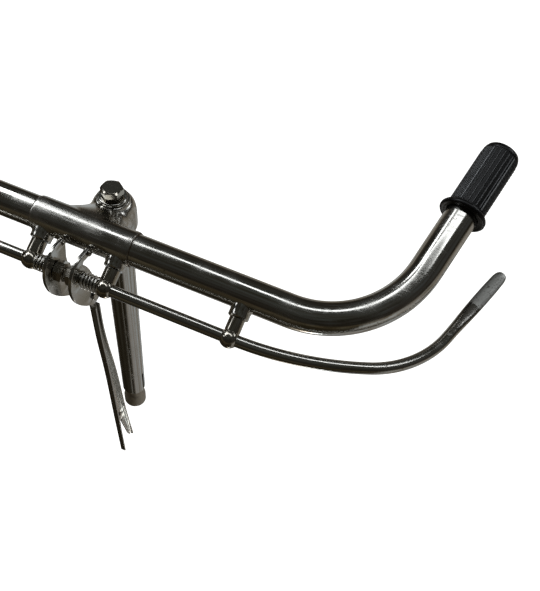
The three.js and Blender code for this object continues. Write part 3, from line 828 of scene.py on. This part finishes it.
# ---- levers ---------------------------------------------------------------------------------
class HANDLEBAR_OT_levers(bpy.types.Operator):
    """Bend both brake levers and flatten their blades"""

    bl_idname = "handlebar.levers"
    bl_label = "Brake levers"

    def execute(self, context):
        size = sizes()
        radius = rod_radius()
        path = [(1 * MM, 0.0, 0.0)]
        add_straight(path, 0.82 * size.straight_half - 1 * MM, 6)
        add_bend(path, SLOW_RADIUS * MM, math.radians(SLOW_ANGLE), 16)
        add_bend(path, TIGHT_SHARE * size.bend_radius, math.radians(TIGHT_ANGLE), 28)
        add_straight(path, 3 * MM, 1)
        up = Vector((0, -math.sin(size.lever_rest), math.cos(size.lever_rest)))
        round_part = lifted(path, rod_centre(), size.lever_rest)
        end, tangent = round_part[-1]
        for side, sign in SIDES:
            rod = [station(p, t, up, radius, radius) for p, t in round_part]
            # The rod spreads over 30 mm.
            for k in range(1, 21):
                ease = (1 - math.cos(math.pi * k / 20)) / 2
                rod.append(self.section(end, tangent, up, 1.5 * k, 1 + 0.2 * ease, 1 - 0.38 * ease))
            self.part(f"lever_{side}", rod, side, sign, [f"lever_rod_{side}"], "bright_plate", "chrome")
            self.part(
                f"lever_blade_{side}", self.blade(end, tangent, up), side, sign, [], "satin_plate",
                "aged_chrome",
            )
        return {"FINISHED"}

    def section(self, end, tangent, up, along, wide, thick):
        radius = rod_radius()
        return station(end + tangent * along * MM, tangent, up, radius * wide, radius * thick)

    def part(self, name, stations, side, sign, nodes, finish_name, slot):
        bm = bmesh.new()
        extrude_along(bm, stations, 40)
        if sign < 0:
            mirror_x(bm)
        complete(make_object(name, bm), f"{side}_lever", nodes, material(finish_name))

    def blade(self, end, tangent, up):
        """The matt blade runs flat and ends in a rounded tip."""
        made = [(29.8, 1.21, 0.63), (40, 1.23, 0.6), (50, 1.22, 0.57), (BLADE_FLAT, 1.16, 0.54)]
        for k in range(1, 9):
            # It stops short of a quarter turn, so that the tip keeps a face.
            angle = math.pi / 2 * k / 8.4
            wide, thick = 1.16 * math.cos(angle) ** 0.6, 0.54 * math.cos(angle) ** 0.5
            made.append((BLADE_FLAT + BLADE_TIP * math.sin(angle), wide, thick))
        return [self.section(end, tangent, up, *place) for place in made]


class HANDLEBAR_OT_cranks(bpy.types.Operator):
    """Cut the crank plates and fit their nuts and pivot pins"""

    bl_idname = "handlebar.cranks"
    bl_label = "Cranks"

    def execute(self, context):
        for side, sign in SIDES:
            body = f"{side}_lever"
            low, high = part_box(f"crank_plate_{side}")
            self.plate(side, body, low.x, high.x)
            low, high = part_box(f"crank_nut_{side}")
            self.nut(side, body, low.x, high.x)
            low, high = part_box(f"pivot_pin_{side}")
            self.pin(side, body, low.x, high.x, sign)
            low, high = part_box(f"stop_pin_{side}")
            self.stop(side, body, low.x, high.x, sign)
        return {"FINISHED"}

    def plate(self, side, body, low, high):
        """A round hub, an arm down to the pivot, and a tail that curls over to rest under the bar."""
        rod = Vector((rod_centre().y, rod_centre().z))
        arm = rod + Vector(ARM_STEP) * MM
        tail = Vector((bar_centre().y, bar_centre().z)) - Vector((sleeve_radius() + TAIL_REACH * MM, 0))
        front = (
            (3.4, -32.4), (-3.2, -25.2), (-9.4, -15.6), (-12.2, -7.0), (-12.8, 0.0), (-11.6, 6.2),
            (-7.8, 12.6), (-1.6, 16.8),
        )
        points = [rod + Vector(step) * MM for step in front]
        outline = [(point.x, point.y, True) for point in points]
        for degrees in (100, 55, 10, -35):
            turn = math.radians(degrees)
            outline.append((tail.x + 3 * MM * math.cos(turn), tail.y + 3 * MM * math.sin(turn), True))
        inner = ((8.0, 11.4), (5.0, 11.8), (3.9, 10.2), (6.2, 7.0), (9.2, 1.0), (12.6, -9.0))
        if side == "right":
            inner = ((12.9, 6.0), (12.0, 0.0), (13.2, -9.0))
        for step in inner:
            point = rod + Vector(step) * MM
            outline.append((point.x, point.y, True))
        for degrees in (16, -30, -75, -115):
            turn = math.radians(degrees)
            outline.append((arm.x + 8.5 * MM * math.cos(turn), arm.y + 8.5 * MM * math.sin(turn), True))
        rings = [
            outline, ring_of(rod, rod_radius() + 0.2 * MM), ring_of(arm, 2.6 * MM), ring_of(tail, 1.5 * MM),
        ]
        piece = flat_piece(f"crank_{side}", rings, low, high, 0.45)
        complete(piece, body, [f"crank_plate_{side}"], material("bright_plate"), sharp=50)

    def stop(self, side, body, low, high, sign):
        length = (high - low) / MM
        back = bar_centre().y - sleeve_radius() - TAIL_REACH * MM
        start = Vector((low if sign > 0 else high, back, bar_centre().z))
        piece = turned(
            f"stop_{side}",
            [(0, 0), (1, 0), (1.3, 0.4), (1.3, length - 1.7), (2.2, length - 1.7), (2.15, length - 1.1),
             (1.6, length - 0.5), (0.8, length - 0.1), (0, length)],
            stand(X_AXIS * sign, start), 32,
        )
        complete(piece, body, [f"stop_pin_{side}"], material("worn_plate"), sharp=50)

    def nut(self, side, body, low, high):
        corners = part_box(f"crank_nut_{side}")
        flats = (corners[1].z - corners[0].z) / MM
        height = (high - low) / MM
        placement = stand(X_AXIS, rod_centre(low)) @ Matrix.Rotation(math.radians(20), 4, "Z")
        piece = make_object(f"nut_{side}", hex_prism(flats, 0, height, placement))
        corner = flats / math.sqrt(3)
        chamfer = turned(
            "chamfer",
            [(0, 0), (flats / 2 - 0.2, 0), (corner + 0.1, 1.0), (corner + 0.1, height - 1.0),
             (flats / 2 - 0.2, height), (0, height)],
            placement, 72,
        )
        combine(piece, chamfer, "INTERSECT")
        bore = rod_of("bore", rod_radius() / MM + 0.25, -2, height + 2, placement, 48)
        combine(piece, bore, "DIFFERENCE")
        complete(
            piece, body, [f"crank_nut_{side}"], material("worn_plate"), edge=0.25, sharp=24
        )

    def pin(self, side, body, low, high, sign):
        length = (high - low) / MM
        start = low if sign > 0 else high
        piece = turned(
            f"pin_{side}",
            [(0, 0), (2, 0), (2.4, 0.6), (2.4, length - 2.1), (4.4, length - 2.1), (4.3, length - 1.2),
             (3.4, length - 0.5), (1.8, length - 0.1), (0, length)],
            stand(X_AXIS * sign, crank_pivot(start)), 48,
        )
        complete(
            piece, body, [f"pivot_pin_{side}"], material("worn_plate"), edge=0.15, sharp=40
        )


class HANDLEBAR_OT_springs(bpy.types.Operator):
    """Coil the return springs"""

    bl_idname = "handlebar.springs"
    bl_label = "Return springs"

    def execute(self, context):
        wire = SPRING_WIRE * MM
        gap = 0.6 * MM
        mean = rod_radius() + wire + gap
        turns = sizes().spring_turns
        # Each spring runs from beside a crank plate to the round shoulder of the inner pillar's ball.
        start = PLATE_PLACE * MM + PLATE_THICKNESS * MM + gap + wire
        length = INNER_PILLAR * MM - 3.9 * MM - start
        steps = turns * 32
        for side, sign in SIDES:
            points = []
            for k in range(steps + 1):
                angle = 2 * math.pi * k / 32
                outward = Vector((0, math.cos(angle), math.sin(angle)))
                centre = rod_centre(start + length * k / steps) + outward * mean
                lead = length / turns / (2 * math.pi * mean)
                along = Vector((lead, -math.sin(angle), math.cos(angle))).normalized()
                points.append((centre, along, outward))
            first, last = points[0], points[-1]
            points.insert(0, (first[0] - first[1] * 1.5 * MM, first[1], first[2]))
            points.append((last[0] + last[1] * 1.5 * MM, last[1], last[2]))
            bm = bmesh.new()
            extrude_along(bm, [station(c, t, o, wire, wire) for c, t, o in points], 14)
            if sign < 0:
                mirror_x(bm)
            piece = make_object(f"spring_{side}", bm)
            complete(piece, "handlebar", [f"return_spring_{side}"], material("spring_wire"))
        return {"FINISHED"}


class HANDLEBAR_OT_link(bpy.types.Operator):
    """Forge the pull link with its eye and fork, and rivet the fork"""

    bl_idname = "handlebar.link"
    bl_label = "Pull link"

    def execute(self, context):
        low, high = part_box("pull_link")
        length = crank_pivot().z - low.z
        face = low.x + 1.8 * MM
        front = [(-3, -0.05), (-2.4, -0.19), (0.2, -0.38), (2.2, -0.7), (4.2, -0.985)]
        back = [(3, -0.05), (3.6, -0.17), (10.8, -0.42), (17.2, -0.74), (23.2, -0.955)]
        crotch = [(8.6, -0.98), (8.9, -0.79), (9.7, -0.764), (10.9, -0.79), (18.6, -0.94)]
        eye = [(6 * math.cos(math.radians(a)), 6 * math.sin(math.radians(a)) * MM / length)
               for a in (-55, -10, 35, 90, 145, 190, 235)]
        outline = eye + front + [(6.6, -1)] + crotch + [(21, -0.965)] + back[::-1]
        smooth = [True] * 11 + [False] * 3 + [True] * 3 + [False] * 3 + [True] * 4
        middle = Vector((crank_pivot().y, crank_pivot().z))
        rivet = middle + Vector((8.9 * MM, -0.725 * length))
        web = flat_piece(
            "web", [self.ring(outline, smooth, length), ring_of(middle, 2.7 * MM), ring_of(rivet, 2.3 * MM)],
            low.x, face, 0.25,
        )
        lips = []
        for edge, inward in ((front, 1.4), (back, -1.4)):
            inner = [(along + inward, up) for along, up in edge[::-1]]
            soft = [False, True, True, True, False, False, True, True, True, False]
            lips.append(flat_piece("lip", [self.ring(edge + inner, soft, length)], low.x, high.x, 0.3))
        piece = unite("link", web, *lips)
        complete(piece, "link", ["pull_link"], material("bright_plate"), sharp=50)
        self.rivet()
        return {"FINISHED"}

    def ring(self, points, smooth, length):
        """An outline from (back, share of the length) points below the crank's pivot."""
        start = crank_pivot()
        return [
            (start.y + back * MM, start.z + up * length, soft) for (back, up), soft in zip(points, smooth)
        ]

    def rivet(self):
        low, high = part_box("fork_rivet")
        centre = (low + high) / 2
        half = (high.x - low.x) / 2 / MM
        piece = turned(
            "rivet",
            [(0, -half), (1.8, -half + 0.2), (3, -half + 0.7), (3.4, -half + 1.4), (2, -half + 1.4),
             (2, half - 1.4), (3.4, half - 1.4), (3, half - 0.7), (1.8, half - 0.2), (0, half)],
            stand(X_AXIS, centre), 40,
        )
        complete(piece, "link", ["fork_rivet"], material("worn_plate"), edge=0.1, sharp=40)


# ---- grips ----------------------------------------------------------------------------------
class HANDLEBAR_OT_grips(bpy.types.Operator):
    """Mould the two rubber grips with their flanges and ribbed panels"""

    bl_idname = "handlebar.grips"
    bl_label = "Grips"

    def execute(self, context):
        size = sizes()
        start, tangent = lifted(half_bar(GRIP_START * MM, 8), bar_centre(), size.sweep_rise)[-1]
        up = Vector((0, -math.sin(size.sweep_rise), math.cos(size.sweep_rise)))
        placement = station(start, tangent, up, 1.0, 1.0)
        placement.col[2] = Vector((*tangent.normalized(), 0))
        for side, sign in SIDES:
            self.body(side, sign, placement)
        return {"FINISHED"}

    def body(self, side, sign, placement):
        length = sizes().grip_length / MM
        bore = tube_radius() / MM + 0.2
        radius = tube_radius() / MM + 1.2
        flange = radius + 3.9
        bm = bmesh.new()
        bm.verts.layers.float.new("crest")
        # The flange has a hollow face round the bar and a rounded lip.
        spin_profile(
            bm,
            [(bore, 3), (bore, 0.9), (bore + 0.5, 0.6), (bore + 1.6, 0.7), (flange - 2.2, 0.5),
             (flange - 1.2, 0.1), (flange - 0.5, 0.3), (flange, 1.0), (flange, 2.2), (flange - 0.5, 3.1),
             (flange - 1.4, 3.6),
             (radius + 1.2, 3.9), (radius + 0.5, 4.5), (radius + 0.1, 5.3)],
            placement, 96,
        )
        spin_profile(
            bm,
            [(radius, length - 6), (radius + 0.15, length - 5.6), (radius + 0.2, length - 4.9),
             (radius - 0.1, length - 3.8), (radius - 0.7, length - 2.4), (radius - 2.3, length - 1.3),
             (radius - 4.5, length - 0.8), (radius - 7.5, length - 0.5), (0, length - 0.4)],
            placement, 96,
        )
        self.ribbed_panel(bm, radius, 5.2, length - 5.8, placement)
        if sign < 0:
            mirror_x(bm)
        piece = make_object(f"rubber_grip_{side}", bm)
        complete(piece, "handlebar", [f"grip_{side}"], material("grip_rubber"), sharp=60)

    def ribbed_panel(self, bm, radius, low, high, placement):
        """A sheet rolled round the bar: long ribs above and below, slanting ones at the sides."""
        made = bmesh.ops.create_grid(bm, x_segments=420, y_segments=120, size=0.5)
        crest = bm.verts.layers.float["crest"]
        for vert in made["verts"]:
            turn = (vert.co.x + 0.5) * 360
            height = low + (vert.co.y + 0.5) * (high - low)
            # From the middle of the upper or lower panel, which is 70 degrees wide.
            aside = (turn - PANEL_TURN + 90) % 180 - 90
            if abs(aside) < 35:
                # Five ribs, 14 degrees apart.
                swell = 0.6 * max(0.0, math.cos(math.radians(aside) * 25.7)) ** 6
            elif abs(aside) < 38:
                # The panel's border.
                swell = 0.65
            else:
                # Chevrons 2.5 mm apart, with their points 64 degrees from the panel's middle.
                slant = height / 2.5 - abs(abs(aside) - 64) / 9
                swell = 0.6 * (0.5 + 0.5 * math.cos(2 * math.pi * slant)) ** 2 if abs(aside) < 88 else 0.4
            edge = max(0.0, min(1.0, (high - height) / 1.6, (height - low) / 0.8))
            reach = (radius + swell * edge) * MM
            # The crest weight says where the painted highlight lies along the ribs.
            vert[crest] = (swell * edge / 0.6) ** 4
            around = math.radians(turn)
            vert.co = (reach * math.cos(around), reach * math.sin(around), height * MM)
        bmesh.ops.remove_doubles(bm, verts=made["verts"], dist=1e-6)
        rolled = [vert for vert in made["verts"] if vert.is_valid]
        bmesh.ops.transform(bm, matrix=placement, verts=rolled)


# ---- stage ----------------------------------------------------------------------------------
class HANDLEBAR_OT_stage(bpy.types.Operator):
    """Set up the pale floor, the soft lights and the camera"""

    bl_idname = "handlebar.stage"
    bl_label = "Stage"

    def execute(self, context):
        self.floor()
        self.world()
        self.camera()
        focus = Vector((0.08, 0.0, 0.02))
        # The plain transform keeps the paper white and the plating's deep tones.
        context.scene.view_settings.view_transform = "Standard"
        self.soft_light("overhead", (-1.2, 0.25, 1.5), focus, (1.35, 0.30), 6.4)
        self.soft_light("overhead_left", (-1.2, 0.25, 1.5), Vector((-1.2, 0.0, 0.02)), (1.4, 0.30), 6)
        self.soft_light("overhead_far", (0.15, 0.25, 1.5), focus, (1.3, 0.22), 3)
        self.soft_light("window", (1.3, 1.2, 1.1), focus, (0.9, 0.5), 5)
        self.soft_light("far_side", (-1.6, -0.5, 0.9), focus, (0.3, 0.5), 1.3)
        return {"FINISHED"}

    def floor(self):
        bm = bmesh.new()
        bmesh.ops.create_grid(bm, x_segments=2, y_segments=2, size=6)
        bmesh.ops.translate(bm, verts=bm.verts, vec=(0, 0, CAD_BOX[0].z - 0.12))
        floor = make_object("studio_floor", bm)
        paper, tree = new_material("floor_paper")
        shader = add_node(
            tree, "ShaderNodeBsdfPrincipled",
            inputs={"Base Color": linear(finish().floor), "Roughness": 0.9,
                    "Emission Color": linear(finish().floor), "Emission Strength": 1.15},
        )
        add_node(tree, "ShaderNodeOutputMaterial", inputs={"Surface": shader.outputs[0]})
        floor.data.materials.append(paper)
        # The bright paper shows only to the eye; the plating reflects the dim room.
        floor.visible_glossy = False
        floor.visible_diffuse = False

    def world(self):
        """A dim room: dark overhead, brown low down in front, and a pale floor behind to one side."""
        world = bpy.data.worlds.new("room")
        world.use_nodes = True
        tree = world.node_tree
        tree.nodes.clear()
        direction = add_node(tree, "ShaderNodeTexCoord").outputs["Generated"]
        parts = add_node(tree, "ShaderNodeSeparateXYZ", inputs={"Vector": direction})
        aside = add_node(
            tree, "ShaderNodeVectorMath", {"operation": "DOT_PRODUCT"}, {0: direction, 1: (0.57, 0.82, 0.0)}
        ).outputs["Value"]
        height = add_node(
            tree, "ShaderNodeMapRange",
            inputs={"Value": parts.outputs["Z"], "From Min": -1.0, "From Max": 1.0},
        ).outputs["Result"]
        dark_side = add_node(tree, "ShaderNodeValToRGB", inputs={"Fac": height}, stops=[
            (0.0, linear("#2C2922")), (0.30, linear("#3C372B")), (0.47, linear("#575040")),
            (0.52, linear("#2E2C27")), (0.75, linear("#33322E")), (1.0, linear("#43443F")),
        ]).outputs["Color"]
        pale_side = add_node(tree, "ShaderNodeValToRGB", inputs={"Fac": height}, stops=[
            (0.0, linear("#9C9C9A")), (0.35, linear("#B0AFAB")), (0.47, linear("#837D73")),
            (0.52, linear("#3A3732")), (0.75, linear("#3B3A37")), (1.0, linear("#484A48")),
        ]).outputs["Color"]
        side = add_node(
            tree, "ShaderNodeMapRange",
            inputs={"Value": aside, "From Min": -0.19, "From Max": -0.09},
        ).outputs["Result"]
        tone = add_node(
            tree, "ShaderNodeMix", {"data_type": "RGBA"}, {"Factor": side, "A": dark_side, "B": pale_side}
        ).outputs["Result"]
        # Soft patches of light and shade from the things in the room.
        patches = add_node(
            tree, "ShaderNodeTexNoise",
            inputs={"Vector": direction, "Scale": 5.0, "Detail": 3.0, "Distortion": 0.6},
        ).outputs["Fac"]
        strength = add_node(
            tree, "ShaderNodeMapRange",
            inputs={"Value": patches, "From Min": 0.38, "From Max": 0.64, "To Min": 0.65, "To Max": 1.9},
        ).outputs["Result"]
        tint = add_node(tree, "ShaderNodeValToRGB", inputs={"Fac": patches}, stops=[
            (0.40, linear("#DAD5C6")), (0.50, linear("#DCD0C8")), (0.58, linear("#D6DDE4")),
        ]).outputs["Color"]
        tone = add_node(
            tree, "ShaderNodeMix", {"data_type": "RGBA", "blend_type": "MULTIPLY"},
            {"Factor": 1.0, "A": tone, "B": tint},
        ).outputs["Result"]
        # A small bright lamp, almost straight below, gives each ball its dot of light.
        below = add_node(
            tree, "ShaderNodeVectorMath", {"operation": "DOT_PRODUCT"},
            {0: direction, 1: (0.08, -0.26, -0.962)},
        ).outputs["Value"]
        spot = add_node(
            tree, "ShaderNodeMapRange",
            inputs={"Value": below, "From Min": 0.988, "From Max": 0.996, "To Max": 30.0},
        ).outputs["Result"]
        strength = add_node(tree, "ShaderNodeMath", {"operation": "ADD"}, {0: strength, 1: spot}).outputs[0]
        sky = add_node(tree, "ShaderNodeBackground", inputs={"Color": tone, "Strength": strength})
        # Seen directly, beyond the floor, the room is plain and pale like the floor.
        plain = add_node(
            tree, "ShaderNodeBackground", inputs={"Color": linear(finish().floor), "Strength": 1.15}
        )
        seen = add_node(tree, "ShaderNodeLightPath").outputs["Is Camera Ray"]
        mixed = add_node(
            tree, "ShaderNodeMixShader", inputs={0: seen, 1: sky.outputs[0], 2: plain.outputs[0]}
        )
        add_node(tree, "ShaderNodeOutputWorld", inputs={"Surface": mixed.outputs[0]})
        bpy.context.scene.world = world

    def soft_light(self, name, place, focus, size, power):
        light = bpy.data.lights.new(name, "AREA")
        light.shape = "RECTANGLE"
        light.size, light.size_y = size
        light.energy = power
        light.color = linear(finish().daylight)[:3]
        holder = bpy.data.objects.new(name, light)
        holder.location = place
        holder.rotation_euler = (focus - Vector(place)).to_track_quat("-Z", "Y").to_euler()
        holder.visible_camera = False
        bpy.context.scene.collection.objects.link(holder)

    def camera(self):
        lens = bpy.data.cameras.new("camera")
        lens.sensor_fit = "HORIZONTAL"
        lens.sensor_width = 36
        lens.lens = 42.7
        lens.shift_y = 0.116
        lens.clip_start = 0.01
        holder = bpy.data.objects.new("camera", lens)
        right = Vector((0.923, 0.365, 0.121)).normalized()
        back = -Vector((-0.104, 0.539, -0.836)).normalized()
        up = back.cross(right).normalized()
        right = up.cross(back)
        turn = Matrix((right, up, back)).transposed().to_4x4()
        holder.matrix_world = Matrix.Translation((0.186, -0.2811, 0.3483)) @ turn
        bpy.context.scene.collection.objects.link(holder)
        bpy.context.scene.camera = holder


class HANDLEBAR_PT_sidebar(bpy.types.Panel):
    """The handlebar's pieces, in the order in which they are made"""

    bl_idname = "HANDLEBAR_PT_sidebar"
    bl_label = "Handlebar"
    bl_space_type = "VIEW_3D"
    bl_region_type = "UI"
    bl_category = "Handlebar"

    def draw(self, context):
        for step in STEPS:
            self.layout.operator(step.bl_idname)
        for group in (sizes(), finish()):
            for name in group.__annotations__:
                self.layout.prop(group, name)


STEPS = (
    HANDLEBAR_OT_stage,
    HANDLEBAR_OT_tube,
    HANDLEBAR_OT_lug,
    HANDLEBAR_OT_quill,
    HANDLEBAR_OT_pillars,
    HANDLEBAR_OT_levers,
    HANDLEBAR_OT_cranks,
    HANDLEBAR_OT_springs,
    HANDLEBAR_OT_link,
    HANDLEBAR_OT_grips,
)
CLASSES = (HandlebarSizes, HandlebarFinish, *STEPS, HANDLEBAR_PT_sidebar)


def register():
    for kind in CLASSES:
        bpy.utils.register_class(kind)
    bpy.types.Scene.handlebar_sizes = PointerProperty(type=HandlebarSizes)
    bpy.types.Scene.handlebar_finish = PointerProperty(type=HandlebarFinish)


def unregister():
    del bpy.types.Scene.handlebar_finish
    del bpy.types.Scene.handlebar_sizes
    for kind in reversed(CLASSES):
        bpy.utils.unregister_class(kind)


def main():
    register()
    for step in STEPS:
        group, name = step.bl_idname.split(".")
        getattr(getattr(bpy.ops, group), name)()


if __name__ == "__main__":
    main()
